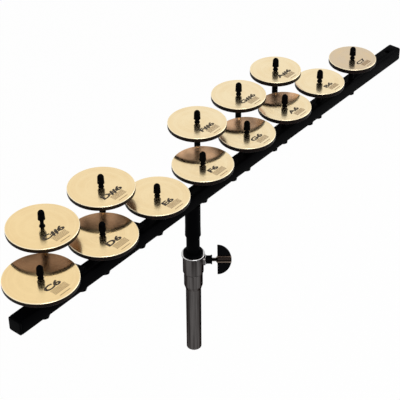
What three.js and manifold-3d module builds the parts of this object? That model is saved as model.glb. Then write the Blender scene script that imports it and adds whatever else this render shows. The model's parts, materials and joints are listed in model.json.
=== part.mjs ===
// Crotales: one octave of tuned bronze discs on a square bar, with the top of their floor stand.
// Units are millimetres. +Z is up, +X runs along the bar towards the high notes, and the player
// stands on the -Y side. The origin is the centre of the lower tube's foot, on the stand's axis.
import * as THREE from 'three';
import { mergeVertices } from 'three/addons/utils/BufferGeometryUtils.js';
import Module from 'manifold-3d';

const wasm = await Module();
wasm.setup();

// Driving dimensions: clearances.
const fitGap = 0.3;
const cutOverrun = 2;

// Driving dimensions: discs. A plate's pitch rises with thickness over diameter squared.
const lowDiscDiameter = 100.7;
const octaveDiameterShare = 0.747;
const lowDiscThickness = 6.7;
const discEdgeBevel = 0.8;
const hubDiameter = 23;
const hubDepth = 3.5;
const hubTaper = 2;

// Driving dimensions: the rows of discs.
const discGap = 12;
const discGapShares = [1.4, 1.35, 0.7, 1.25, 0.85, 1.05, 1.2];
const accidentalSetback = 52.3;
const accidentalLift = 22.8;
const postHeight = 25.7;

// Driving dimensions: posts. The shoulder and the tip are steps in from the post's own radius.
const postDiameter = 9.2;
const shoulderStep = 0.9;
const shoulderStandOut = 1.6;
const tipStep = 1.1;
const tipStandOut = 16.5;

// Driving dimensions: the arms that carry the accidentals' posts, and the bolts that hold them.
const armThickness = 4;
const armWidth = 16;
const armOffset = 18;
const armOffsetShares = [0.7, 1, 1, 1.15, 1.2];
const boltStandOut = 1.5;

// Driving dimensions: caps on the posts' tips. The C sharp's cap stands higher than the others.
const capWall = 1.7;
const capNoseWall = 3.2;
const capLift = 3.9;
const capChamfer = 0.4;
const capNoseHeight = 5.2;
const looseCapRaise = 5.6;

// Driving dimensions: the hex heads under the bar.
const headWall = 1.9;
const headHeight = 6.4;
const headFlangeReach = 0.8;
const headFlangeHeight = 1.5;

// Driving dimensions: bar.
const barWidth = 21.6;
const barWall = 2;
const barCornerRadius = 2;
const barOverhangLow = 51.5;
const barOverhangHigh = 130.8;
const endCapThickness = 3.5;
const endCapRounding = 1.2;
const endPlugLength = 10;
const spareHoleDiameter = 8.4;
const spareHoleMargin = 10.5;

// Driving dimensions: stand. The lower tube is the size that the rest of the stand fits.
const tubeDiameter = 23.2;
const tubeWall = 1.2;
const rodClearance = 0.45;
const rodWall = 1.5;
const rodFootHeight = 60;
const rodShowing = 30.4;
const rodHeadroom = 4;
const ringFootHeight = 119.6;
const ringHeight = 29.6;
const ringWall = 2.3;
const ringFootWall = 0.45;
const ringTaperHeight = 6.5;
const collarHeight = 35;
const collarWall = 3.75;
const collarChamfer = 1.6;
const collarLipReach = 2;
const collarLipHeight = 2.6;
const bushingBodyLength = 15.7;
const bushingFlangeInset = 0.6;
const bushingFlangeHeight = 3.6;
const bushingFlangeRounding = 1.2;
const bushingKeyWidth = 3;
const bushingKeyDepth = 1;
const bushingKeyAzimuthDegrees = -140;
const receiverLength = 55.9;
const receiverWall = 1.1;
const receiverLipReach = 0.4;
const receiverLipHeight = 16;
const receiverToPost = 4.75;

// Driving dimensions: the clamp's wing screw and the boss that guides it.
const screwAzimuthDegrees = -50;
const screwBelowCollarTop = 13;
const screwDiameter = 6;
const screwShowing = 5.6;
const screwBossWall = 3.4;
const screwBossLength = 9.5;
const screwBossRimReach = 0.4;
const screwBossRimHeight = 1.8;
const collarPadMargin = 1.8;
const collarPadStandOut = 2.6;
const wingReach = 21;
const wingHalfHeight = 22;
const wingThickness = 3.6;
const wingEdgeRounding = 0.8;
const wingHubDiameter = 11.8;
const wingHubLead = 2.2;
const wingLeanDegrees = 39;

// Facets round a full turn.
const discFacets = 28;
const postFacets = 12;
const standFacets = 24;
const hexagonFacets = 6;
const arcFacets = 8;
const edgeSteps = 2;
const noseSteps = 3;

// Notes, as semitones above the low C. Accidentals stand midway between the two naturals named.
const naturals = [
  { note: 'c', semitone: 0 },
  { note: 'd', semitone: 2 },
  { note: 'e', semitone: 4 },
  { note: 'f', semitone: 5 },
  { note: 'g', semitone: 7 },
  { note: 'a', semitone: 9 },
  { note: 'b', semitone: 11 },
  { note: 'c_high', semitone: 12 },
];
const accidentals = [
  { note: 'c_sharp', semitone: 1, after: 0 },
  { note: 'd_sharp', semitone: 3, after: 1 },
  { note: 'f_sharp', semitone: 6, after: 3 },
  { note: 'g_sharp', semitone: 8, after: 4 },
  { note: 'a_sharp', semitone: 10, after: 5 },
];
const octave = 12;
const naturalBesideStand = 3;

// Finishes.
const finishes = {
  bronze: { color: 0xe6cf98, roughness: 0.28, metalness: 1 },
  rubber: { color: 0x0b0b0d, roughness: 0.6, metalness: 0 },
  blackSteel: { color: 0x121214, roughness: 0.45, metalness: 0.4 },
  blackZinc: { color: 0x151517, roughness: 0.4, metalness: 0.7 },
  blackPlastic: { color: 0x101012, roughness: 0.5, metalness: 0 },
  chrome: { color: 0xb9b9bb, roughness: 0.12, metalness: 1 },
};

// Worked out sizes: discs and posts.
const discDiameter = (semitone) => lowDiscDiameter * octaveDiameterShare ** (semitone / octave);
const discThickness = (semitone) =>
  lowDiscThickness * 2 ** (semitone / octave) * (discDiameter(semitone) / lowDiscDiameter) ** 2;
const postRadius = postDiameter / 2;
const postHoleRadius = postRadius + fitGap;
const shoulderRadius = postRadius - shoulderStep;
const tipRadius = shoulderRadius - tipStep;
const discBoreRadius = shoulderRadius + fitGap;
const capBoreRadius = tipRadius + fitGap;
const capRadius = capBoreRadius + capWall;
const headAcrossFlats = postDiameter + 2 * headWall;
const headFlangeRadius = headAcrossFlats / 2 + headFlangeReach;

// Worked out sizes: stand.
const tubeRadius = tubeDiameter / 2;
const tubeBoreRadius = tubeRadius - tubeWall;
const rodRadius = tubeBoreRadius - rodClearance;
const rodGuideRadius = rodRadius + fitGap;
const collarBoreRadius = tubeRadius + fitGap;
const collarRadius = collarBoreRadius + collarWall;
const receiverRadius = rodGuideRadius + receiverWall;
const screwBoreRadius = screwDiameter / 2 + fitGap;
const screwBossRadius = screwBoreRadius + screwBossWall;
const screwBossStart = collarRadius + collarPadStandOut + fitGap;
const screwBossEnd = screwBossStart + screwBossLength;

// Worked out heights, counted up from the lower tube's foot.
const ringTop = ringFootHeight + ringHeight;
const collarBottom = ringTop + fitGap;
const collarTop = collarBottom + collarHeight;
const bushingSeat = collarTop + fitGap;
const bushingTop = bushingSeat + bushingFlangeHeight;
const bushingBottom = collarTop - bushingBodyLength;
const tubeTop = bushingBottom - fitGap;
const receiverBottom = bushingTop + rodShowing;
const receiverTop = receiverBottom + receiverLength;
const barBottom = receiverTop + fitGap;
const barTop = barBottom + barWidth;
const barMiddle = (barBottom + barTop) / 2;
const headTop = barBottom - fitGap;
const headFlangeBottom = headTop - headFlangeHeight;
const headBottom = headFlangeBottom - headHeight;
const armBottom = barTop + fitGap;
const armTop = armBottom + armThickness;
const naturalSeat = barTop + postHeight;
const screwHeight = collarTop - screwBelowCollarTop;

// Worked out places along the bar: each natural stands clear of the last by its own gap.
let reach = 0;
naturals.forEach((disc, i) => {
  if (i > 0) {
    const before = naturals[i - 1];
    reach += (discDiameter(before.semitone) + discDiameter(disc.semitone)) / 2;
    reach += discGap * discGapShares[i - 1];
  }
  disc.x = reach;
});
const standX = naturals[naturalBesideStand].x - receiverRadius - headFlangeRadius - receiverToPost;
naturals.forEach((disc) => {
  disc.x -= standX;
  disc.y = 0;
  disc.seat = naturalSeat;
});
accidentals.forEach((disc, i) => {
  disc.x = (naturals[disc.after].x + naturals[disc.after + 1].x) / 2;
  disc.y = accidentalSetback;
  disc.seat = naturalSeat + accidentalLift;
  disc.boltX = disc.x + armOffset * armOffsetShares[i];
});
const discs = [...naturals, ...accidentals];
discs.forEach((disc) => {
  disc.capRaise = disc.note === 'c_sharp' ? looseCapRaise : 0;
});
const barLow = naturals[0].x - barOverhangLow;
const barHigh = naturals[naturals.length - 1].x + barOverhangHigh;
const spareHoleX = barHigh - endCapThickness - endPlugLength - spareHoleMargin;

const crotales = new THREE.Group();

// Adds one named mesh to the model.
function add(name, geometry, finish) {
  const mesh = new THREE.Mesh(geometry, new THREE.MeshStandardMaterial(finishes[finish]));
  mesh.name = name;
  crotales.add(mesh);
}

// Turns a profile of [radius, height] points about the Z axis. A ring's profile closes on itself.
function turned(profile, facets) {
  const points = profile.map(([r, z]) => new THREE.Vector2(r, z));
  return new THREE.LatheGeometry(points, facets).rotateX(Math.PI / 2);
}

// Closes a ring's profile on its first point.
const ring = (profile) => [...profile, profile[0]];

// A round bar along Z from one height to another.
function cylinder(radius, low, high, facets) {
  return turned([[0, low], [radius, low], [radius, high], [0, high]], facets);
}

// A hexagonal prism across its flats, along Z.
function hexagon(acrossFlats, low, high) {
  const cornerRadius = acrossFlats / 2 / Math.cos(Math.PI / hexagonFacets);
  const height = high - low;
  const prism = new THREE.CylinderGeometry(cornerRadius, cornerRadius, height, hexagonFacets);
  return prism.rotateX(Math.PI / 2).translate(0, 0, low + height / 2);
}

// The solid of a closed geometry, for joining and cutting.
function solid(geometry) {
  const bare = geometry.clone();
  bare.deleteAttribute('normal');
  bare.deleteAttribute('uv');
  const merged = mergeVertices(bare);
  const corners = merged.index.array;
  const kept = [];
  for (let i = 0; i < corners.length; i += 3) {
    const [a, b, c] = [corners[i], corners[i + 1], corners[i + 2]];
    if (a !== b && b !== c && c !== a) kept.push(a, b, c);
  }
  return new wasm.Manifold(new wasm.Mesh({
    numProp: 3,
    vertProperties: merged.attributes.position.array,
    triVerts: new Uint32Array(kept),
  }));
}

// The geometry of a joined or cut solid.
function geometryOf(body) {
  const mesh = body.getMesh();
  const geometry = new THREE.BufferGeometry();
  geometry.setAttribute('position', new THREE.BufferAttribute(mesh.vertProperties, 3));
  geometry.setIndex(new THREE.BufferAttribute(mesh.triVerts, 1));
  geometry.computeVertexNormals();
  return geometry;
}

const joined = (first, ...others) =>
  others.reduce((body, piece) => body.add(solid(piece)), solid(first));
const cutBy = (body, ...tools) =>
  tools.reduce((rest, tool) => rest.subtract(solid(tool)), body);

// A square outline with round corners, centred on the origin.
function roundedSquare(width, radius) {
  const half = width / 2;
  const straight = half - radius;
  const shape = new THREE.Shape();
  shape.moveTo(-straight, -half);
  shape.lineTo(straight, -half);
  shape.absarc(straight, -straight, radius, -Math.PI / 2, 0);
  shape.lineTo(half, straight);
  shape.absarc(straight, straight, radius, 0, Math.PI / 2);
  shape.lineTo(-straight, half);
  shape.absarc(-straight, straight, radius, Math.PI / 2, Math.PI);
  shape.lineTo(-half, -straight);
  shape.absarc(-straight, -straight, radius, Math.PI, Math.PI * 1.5);
  return shape;
}

// A tuned disc: flat plate with bevelled edges, and a turned hub below that rests on its post.
function discGeometry(disc) {
  const radius = discDiameter(disc.semitone) / 2;
  const underside = disc.seat + hubDepth;
  const top = underside + discThickness(disc.semitone);
  const hubRadius = hubDiameter / 2;
  return turned(ring([
    [discBoreRadius, disc.seat + fitGap],
    [hubRadius - hubTaper, disc.seat + fitGap],
    [hubRadius, underside],
    [radius - discEdgeBevel, underside],
    [radius, underside + discEdgeBevel],
    [radius, top - discEdgeBevel],
    [radius - discEdgeBevel, top],
    [discBoreRadius, top],
  ]), discFacets).translate(disc.x, disc.y, 0);
}

// The height of a disc's top face.
const discTop = (disc) => disc.seat + hubDepth + discThickness(disc.semitone);

// The upper end of every post, from below its seat: shoulder through the disc, then a thin tip.
function postHead(disc, low) {
  const top = discTop(disc);
  return [
    [postRadius, low],
    [postRadius, disc.seat],
    [shoulderRadius, disc.seat],
    [shoulderRadius, top + shoulderStandOut],
    [tipRadius, top + shoulderStandOut],
    [tipRadius, top + tipStandOut],
    [0, top + tipStandOut],
  ];
}

// A bar with a flanged hex head under the bar. Upper is its profile above the head.
function headed(upper) {
  const shank = turned([
    [0, headFlangeBottom],
    [headFlangeRadius, headFlangeBottom],
    [headFlangeRadius, headTop],
    [postRadius, headTop],
    ...upper,
  ], postFacets);
  const hex = hexagon(headAcrossFlats, headBottom, (headFlangeBottom + headTop) / 2);
  return geometryOf(joined(shank, hex));
}

// A natural's post: hex head under the bar, straight shank through it, and the post head.
function naturalPost(disc) {
  return headed(postHead(disc, barTop)).translate(disc.x, disc.y, 0);
}

// The bolt that holds an arm: hex head under the bar, and its end standing out of the arm.
function armBolt(disc) {
  const top = armTop + boltStandOut;
  return headed([[postRadius, top], [0, top]]).translate(disc.boltX, 0, 0);
}

// An accidental's post: a stub screwed into the arm's rear end, a shoulder on it, and the post head.
function accidentalPost(disc) {
  const foot = armTop + fitGap;
  return turned([
    [0, armBottom],
    [shoulderRadius, armBottom],
    [shoulderRadius, foot],
    ...postHead(disc, foot),
  ], postFacets).translate(disc.x, disc.y, 0);
}

// A flat arm on top of the bar, from its bolt back to the post that it carries.
function armGeometry(disc) {
  const run = new THREE.Vector2(disc.x - disc.boltX, disc.y);
  const reach = run.length();
  const half = armWidth / 2;
  const outline = new THREE.Shape();
  outline.moveTo(0, -half);
  outline.lineTo(reach, -half);
  outline.absarc(reach, 0, half, -Math.PI / 2, Math.PI / 2);
  outline.lineTo(0, half);
  outline.absarc(0, 0, half, Math.PI / 2, Math.PI * 1.5);
  const boltHole = new THREE.Path().absarc(0, 0, postHoleRadius, 0, Math.PI * 2, true);
  const stubHole = new THREE.Path().absarc(reach, 0, discBoreRadius, 0, Math.PI * 2, true);
  outline.holes.push(boltHole, stubHole);
  return new THREE.ExtrudeGeometry(outline, {
    depth: armThickness,
    bevelEnabled: false,
    curveSegments: arcFacets,
  }).rotateZ(run.angle()).translate(disc.boltX, 0, armBottom);
}

// A bullet-shaped cap with a blind bore for the post's tip.
function capGeometry(disc) {
  const bottom = discTop(disc) + shoulderStandOut + capLift + disc.capRaise;
  const boreTop = discTop(disc) + tipStandOut + fitGap + disc.capRaise;
  const noseStart = boreTop + capNoseWall - capNoseHeight;
  const nose = [];
  for (let i = 1; i < noseSteps; i += 1) {
    const turn = (i / noseSteps) * (Math.PI / 2);
    nose.push([capRadius * Math.cos(turn), noseStart + capNoseHeight * Math.sin(turn)]);
  }
  return turned([
    [0, boreTop],
    [capBoreRadius, boreTop],
    [capBoreRadius, bottom],
    [capRadius - capChamfer, bottom],
    [capRadius, bottom + capChamfer],
    [capRadius, noseStart],
    ...nose,
    [0, noseStart + capNoseHeight],
  ], postFacets).translate(disc.x, disc.y, 0);
}

// The square tube, drilled through both walls for each post, and once more near its high end.
function barGeometry() {
  const low = barLow + endCapThickness + fitGap;
  const length = barHigh - endCapThickness - fitGap - low;
  const outline = roundedSquare(barWidth, barCornerRadius);
  const inner = roundedSquare(barWidth - 2 * barWall, barCornerRadius);
  outline.holes.push(new THREE.Path(inner.getPoints(edgeSteps).reverse()));
  const tube = new THREE.ExtrudeGeometry(outline, {
    depth: length,
    bevelEnabled: false,
    curveSegments: edgeSteps,
  }).rotateY(Math.PI / 2).translate(low, 0, barMiddle);
  const drill = (x, radius) =>
    cylinder(radius, barBottom - cutOverrun, barTop + cutOverrun, postFacets).translate(x, 0, 0);
  const holes = [
    ...naturals.map((disc) => drill(disc.x, postHoleRadius)),
    ...accidentals.map((disc) => drill(disc.boltX, postHoleRadius)),
    drill(spareHoleX, spareHoleDiameter / 2),
  ];
  return geometryOf(cutBy(solid(tube), ...holes));
}

// A plug that closes one end of the bar. Side is -1 at the low end and 1 at the high end.
function endCap(side) {
  const plate = new THREE.ExtrudeGeometry(
    roundedSquare(barWidth - 2 * endCapRounding, barCornerRadius), {
      depth: endCapThickness - endCapRounding,
      bevelEnabled: true,
      bevelThickness: endCapRounding,
      bevelSize: endCapRounding,
      bevelSegments: edgeSteps,
      curveSegments: edgeSteps,
    });
  const trim = new THREE.BoxGeometry(barWidth * 2, barWidth * 2, barWidth * 2)
    .translate(0, 0, -barWidth);
  const plug = new THREE.ExtrudeGeometry(
    roundedSquare(barWidth - 2 * barWall - 2 * fitGap, barCornerRadius), {
      depth: endPlugLength + endCapThickness / 2,
      bevelEnabled: false,
      curveSegments: edgeSteps,
    }).translate(0, 0, -endPlugLength);
  const cap = solid(plate).subtract(solid(trim)).add(solid(plug));
  const face = side > 0 ? barHigh - endCapThickness : barLow + endCapThickness;
  return geometryOf(cap).rotateY(side * Math.PI / 2).translate(face, 0, barMiddle);
}

// The sleeve under the bar that takes the rod, with a slightly flared lower end.
function receiverGeometry() {
  return turned(ring([
    [rodGuideRadius, receiverBottom],
    [receiverRadius + receiverLipReach, receiverBottom],
    [receiverRadius, receiverBottom + receiverLipHeight],
    [receiverRadius, receiverTop],
    [rodGuideRadius, receiverTop],
  ]), standFacets);
}

// The tube that slides in the lower tube and carries the bar.
function rodGeometry() {
  const top = receiverTop - rodHeadroom;
  return turned(ring([
    [rodRadius - rodWall, rodFootHeight],
    [rodRadius, rodFootHeight],
    [rodRadius, top],
    [rodRadius - rodWall, top],
  ]), standFacets);
}

// The bushing between collar and rod: a body in the collar, a rounded flange and a small key.
function bushingGeometry() {
  const flange = collarRadius - bushingFlangeInset;
  const body = turned(ring([
    [rodGuideRadius, bushingBottom],
    [tubeRadius, bushingBottom],
    [tubeRadius, bushingSeat],
    [flange, bushingSeat],
    [flange, bushingTop - bushingFlangeRounding],
    [flange - bushingFlangeRounding, bushingTop],
    [rodGuideRadius, bushingTop],
  ]), standFacets);
  const keyHeight = bushingFlangeHeight - bushingFlangeRounding;
  const key = new THREE.BoxGeometry(2 * bushingKeyDepth, bushingKeyWidth, keyHeight)
    .translate(flange, 0, bushingSeat + keyHeight / 2)
    .rotateZ(THREE.MathUtils.degToRad(bushingKeyAzimuthDegrees));
  return geometryOf(joined(body, key));
}

// Places a piece made along Z on the wing screw's axis, its foot at the stand's axis.
function onScrewAxis(geometry) {
  return geometry.rotateY(Math.PI / 2)
    .rotateZ(THREE.MathUtils.degToRad(screwAzimuthDegrees))
    .translate(0, 0, screwHeight);
}

// The clamp collar: lip, body, chamfered foot, and a round pad drilled for the screw.
function collarGeometry() {
  const lipRadius = collarRadius + collarLipReach;
  const body = turned(ring([
    [collarBoreRadius, collarBottom],
    [collarRadius - collarChamfer, collarBottom],
    [collarRadius, collarBottom + collarChamfer],
    [collarRadius, collarTop - collarLipHeight],
    [lipRadius, collarTop - collarLipHeight],
    [lipRadius, collarTop],
    [collarBoreRadius, collarTop],
  ]), standFacets);
  const padInner = (collarBoreRadius + collarRadius) / 2;
  const padOuter = collarRadius + collarPadStandOut;
  const pad = cylinder(screwBossRadius + collarPadMargin, padInner, padOuter, standFacets);
  const drill = cylinder(screwBoreRadius, 0, padOuter + cutOverrun, postFacets);
  return geometryOf(cutBy(joined(body, onScrewAxis(pad)), onScrewAxis(drill)));
}

// The ring below the collar, tapered at its foot.
function ringGeometry() {
  const radius = collarBoreRadius + ringWall;
  return turned(ring([
    [collarBoreRadius, ringFootHeight],
    [collarBoreRadius + ringFootWall, ringFootHeight],
    [radius, ringFootHeight + ringTaperHeight],
    [radius, ringTop],
    [collarBoreRadius, ringTop],
  ]), standFacets);
}

// The lower tube of the stand, open at its foot.
function tubeGeometry() {
  return turned(ring([
    [tubeBoreRadius, 0],
    [tubeRadius, 0],
    [tubeRadius, tubeTop],
    [tubeBoreRadius, tubeTop],
  ]), standFacets);
}

// The boss that guides the screw outside the collar, with a rim at its outer end.
function screwBossGeometry() {
  const rimStart = screwBossEnd - screwBossRimHeight;
  return onScrewAxis(turned(ring([
    [screwBoreRadius, screwBossStart],
    [screwBossRadius, screwBossStart],
    [screwBossRadius, rimStart],
    [screwBossRadius + screwBossRimReach, rimStart],
    [screwBossRadius + screwBossRimReach, screwBossEnd],
    [screwBoreRadius, screwBossEnd],
  ]), standFacets));
}

// The wing screw: shank, hub and a half-moon wing, which leans back from upright.
function wingScrewGeometry() {
  const hubStart = screwBossEnd + screwShowing;
  const wingStart = hubStart + wingHubLead;
  const end = wingStart + wingReach;
  const stem = turned([
    [0, collarBoreRadius],
    [screwDiameter / 2, collarBoreRadius],
    [screwDiameter / 2, hubStart],
    [wingHubDiameter / 2, wingStart],
    [wingHubDiameter / 2, end],
    [0, end],
  ], standFacets);
  const outline = new THREE.Shape();
  const flat = wingStart + wingEdgeRounding;
  const rim = wingHalfHeight - wingEdgeRounding;
  outline.moveTo(flat, -rim);
  outline.absellipse(flat, 0, wingReach - 2 * wingEdgeRounding, rim, -Math.PI / 2, Math.PI / 2);
  outline.closePath();
  const plateThickness = wingThickness - 2 * wingEdgeRounding;
  const wing = new THREE.ExtrudeGeometry(outline, {
    depth: plateThickness,
    bevelEnabled: true,
    bevelThickness: wingEdgeRounding,
    bevelSize: wingEdgeRounding,
    bevelSegments: edgeSteps,
    curveSegments: arcFacets,
  }).translate(0, 0, -plateThickness / 2);
  const lean = THREE.MathUtils.degToRad(wingLeanDegrees);
  wing.rotateY(-Math.PI / 2).rotateZ(Math.PI / 2 - lean);
  return onScrewAxis(geometryOf(joined(stem, wing)));
}

discs.forEach((disc) => {
  add(`disc_${disc.note}`, discGeometry(disc), 'bronze');
  add(`cap_${disc.note}`, capGeometry(disc), 'rubber');
});
naturals.forEach((disc) => add(`post_${disc.note}`, naturalPost(disc), 'blackZinc'));
accidentals.forEach((disc) => {
  add(`post_${disc.note}`, accidentalPost(disc), 'blackZinc');
  add(`arm_${disc.note}`, armGeometry(disc), 'blackSteel');
  add(`bolt_${disc.note}`, armBolt(disc), 'blackZinc');
});
add('bar', barGeometry(), 'blackSteel');
add('end_cap_low', endCap(-1), 'blackPlastic');
add('end_cap_high', endCap(1), 'blackPlastic');
add('bar_receiver', receiverGeometry(), 'blackSteel');
add('stand_rod', rodGeometry(), 'blackSteel');
add('rod_bushing', bushingGeometry(), 'blackPlastic');
add('clamp_collar', collarGeometry(), 'chrome');
add('collar_ring', ringGeometry(), 'chrome');
add('lower_tube', tubeGeometry(), 'chrome');
add('screw_boss', screwBossGeometry(), 'blackPlastic');
add('wing_screw', wingScrewGeometry(), 'blackPlastic');

export default crotales;
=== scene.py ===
"""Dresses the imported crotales: turned bronze discs on capped posts, their bar and the stand's top."""

import json
import math
from collections import namedtuple

import bmesh
import bpy
import numpy as np
from bpy.props import FloatProperty, FloatVectorProperty, IntProperty, PointerProperty
from bpy.types import Operator, Panel, PropertyGroup
from mathutils import Matrix, Vector


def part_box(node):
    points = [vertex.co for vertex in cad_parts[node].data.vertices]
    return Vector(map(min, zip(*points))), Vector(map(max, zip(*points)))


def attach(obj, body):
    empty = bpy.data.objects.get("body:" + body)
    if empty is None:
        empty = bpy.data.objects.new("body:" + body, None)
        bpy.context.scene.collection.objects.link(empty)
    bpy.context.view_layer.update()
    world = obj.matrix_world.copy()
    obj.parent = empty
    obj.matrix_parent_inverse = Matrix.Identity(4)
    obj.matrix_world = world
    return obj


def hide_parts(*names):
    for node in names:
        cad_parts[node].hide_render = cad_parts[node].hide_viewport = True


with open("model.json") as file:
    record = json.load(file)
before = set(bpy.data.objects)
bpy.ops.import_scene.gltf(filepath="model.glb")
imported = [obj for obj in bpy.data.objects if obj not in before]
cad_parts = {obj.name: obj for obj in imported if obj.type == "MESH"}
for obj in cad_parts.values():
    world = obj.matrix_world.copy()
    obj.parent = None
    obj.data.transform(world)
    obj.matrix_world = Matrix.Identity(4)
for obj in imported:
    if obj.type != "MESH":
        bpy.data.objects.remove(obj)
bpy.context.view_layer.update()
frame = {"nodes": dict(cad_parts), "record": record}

bl_info = {
    "name": "Crotales",
    "version": (1, 0, 0),
    "blender": (4, 5, 0),
    "location": "View3D > Sidebar > Crotales",
    "description": "Builds the finished surfaces of a set of crotales round its solid model",
    "category": "Object",
}

MM = 0.001
UP = np.array([0, 0, 1.0])
TURNING_UV = "turning"
SHARP_ANGLE = math.radians(32)
NOTES = [name[len("disc_"):] for name in frame["nodes"] if name.startswith("disc_")]
SHARPS = [note for note in NOTES if note.endswith("_sharp")]
BODY_OF = {node: body for body, nodes in frame["record"]["behaviour"]["bodies"].items()
           for node in nodes}

# A disc's finishes, and their numbers on its faces.
DISC_FINISHES = ["polished_turned_bronze", "dark_cast_bronze_rim", "turned_bronze_underside",
                 "bright_cut_bronze_edge", "dark_screen_ink", "tan_screen_ink"]
POLISHED, RIM, UNDERSIDE, EDGE, DARK_INK, TAN_INK = range(len(DISC_FINISHES))

# A closed surface: points, faces, a finish number for each face and a UV for each corner.
Shell = namedtuple("Shell", "points faces finish uv")


def linear(hex_colour):
    """The linear colour of an sRGB hex value, with full alpha."""
    channels = [int(hex_colour[i:i + 2], 16) / 255 for i in (1, 3, 5)]
    return [c / 12.92 if c <= 0.04045 else ((c + 0.055) / 1.055) ** 2.4 for c in channels] + [1.0]


def length(name, description, millimetres):
    """A length property, given in millimetres and held in metres."""
    return FloatProperty(name=name, description=description, default=millimetres * MM,
                         unit="LENGTH", precision=5)


def share(name, description, default):
    """A plain number between nothing and all."""
    return FloatProperty(name=name, description=description, default=default, min=0, max=1,
                         subtype="FACTOR")


def angle(name, description, degrees):
    """An angle property, given in degrees and held in radians."""
    return FloatProperty(name=name, description=description, default=math.radians(degrees),
                         subtype="ANGLE")


def count(name, description, default):
    """A whole number of steps or copies."""
    return IntProperty(name=name, description=description, default=default, min=1)


def colour(name, description, hex_colour):
    """A colour property from an sRGB hex value."""
    return FloatVectorProperty(name=name, description=description, default=linear(hex_colour),
                               size=4, min=0, max=1, subtype="COLOR")


def place(name, description, metres):
    """A point in space, in metres."""
    return FloatVectorProperty(name=name, description=description, default=metres,
                               subtype="TRANSLATION", unit="LENGTH")


class CrotalesDiscs(PropertyGroup):
    """Sizes of the tuned discs that their solids don't give."""
    hub_diameter: length("Hub diameter", "Diameter of the hub under a disc, at the plate", 23)
    hub_foot_diameter: length("Hub foot diameter", "Diameter of the hub where it rests on its post", 19)
    hub_depth: length("Hub depth", "How far the hub stands below the plate", 3.2)
    hub_fillet: length("Hub fillet", "Radius in the corner between hub and plate", 1)
    bore_diameter: length("Bore", "Diameter of the hole for the post's shoulder", 8)
    rim_bevel: length("Rim bevel", "Radius of the rounded top and bottom rims", 0.8)
    around: count("Steps around", "Faces round a disc", 160)
    letter_height_share: share("Letter height", "Height of the note's name, of the radius", 0.175)
    letter_place_share: share("Letter place", "Distance of the name from the centre", 0.45)
    letter_weight_share: share("Letter weight", "Thickening of a letter, of its height", 0.07)
    letter_width_share: FloatProperty(name="Letter width", description="Widening of the letters",
                                      default=1.7, min=0.5, max=2)
    stave_place_share: share("Stave place", "Distance of the five lines from the centre", 0.66)
    stave_width_share: share("Stave width", "Length of the five lines, of the radius", 0.5)
    stave_pitch_share: share("Stave pitch", "Space from line to line, of the radius", 0.042)
    stave_aside_share: share("Stave aside", "How far the stave stands to the right", 0.02)
    rule_place_share: share("Rule place", "Distance of the ruled line from the centre", 0.86)
    rule_width_share: share("Rule width", "Length of the ruled line, of the radius", 0.36)
    mark_aside_share: share("Mark aside", "How far the name stands to the left, of the radius", 0.04)
    mark_stroke: length("Stroke", "Width of a printed line", 0.9)
    ink_thickness: length("Ink thickness", "How far the ink stands above the bronze", 0.03)


class CrotalesPosts(PropertyGroup):
    """Sizes of the posts, their heads, the arms, the bolts and the caps."""
    diameter: length("Post diameter", "Diameter of a post below its disc", 9.2)
    shoulder_diameter: length("Shoulder diameter", "Diameter of the shoulder in the disc", 7.4)
    shoulder_stand_out: length("Shoulder height", "Height of the shoulder above the disc", 1.6)
    tip_diameter: length("Tip diameter", "Diameter of the threaded tip", 5.2)
    tip_pitch: length("Tip thread pitch", "Rise of the tip's thread in one turn", 0.8)
    shank_pitch: length("Shank thread pitch", "Rise of the shank's thread in one turn", 1.25)
    thread_share: share("Thread depth", "Depth of a thread, of its pitch", 0.5)
    shank_thread_length: length("Shank thread", "Length of thread that shows above the bar", 6)
    across_flats: length("Across flats", "Width of the hex heads", 13)
    flange_diameter: length("Head flange", "Diameter of the flange on a hex head", 14.6)
    flange_height: length("Head flange height", "Thickness of the flange", 1.5)
    head_chamfer: length("Head chamfer", "Height of the chamfer on a hex head", 1.1)
    end_chamfer: length("End chamfer", "Chamfer at the end of a bolt or stub", 0.7)
    spanner_flats: length("Spanner flats", "Width across the two flats at a raised post's foot", 8)
    spanner_low: length("Flats start", "Height of the flats above the arm", 1.5)
    spanner_high: length("Flats end", "Height of the flats' upper end above the arm", 8)
    arm_edge: length("Arm edge", "Bevel on the edges of an arm", 0.6)
    cap_swell: length("Cap swell", "How much a cap's side widens from its nose to its mouth", 0.4)
    cap_nose_height: length("Cap nose", "Height of the cap's rounded nose", 5.2)
    cap_nose_wall: length("Cap nose wall", "Rubber above the end of the cap's bore", 3.2)
    cap_chamfer: length("Cap chamfer", "Rounding of the cap's mouth", 0.4)
    cap_lip_height: length("Cap lip", "Height of the lip at the cap's mouth", 1.6)
    cap_lip_depth: length("Cap lip depth", "How far the lip stands out of the cap", 0.15)
    around: count("Steps around", "Faces round a post or bolt", 48)


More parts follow.
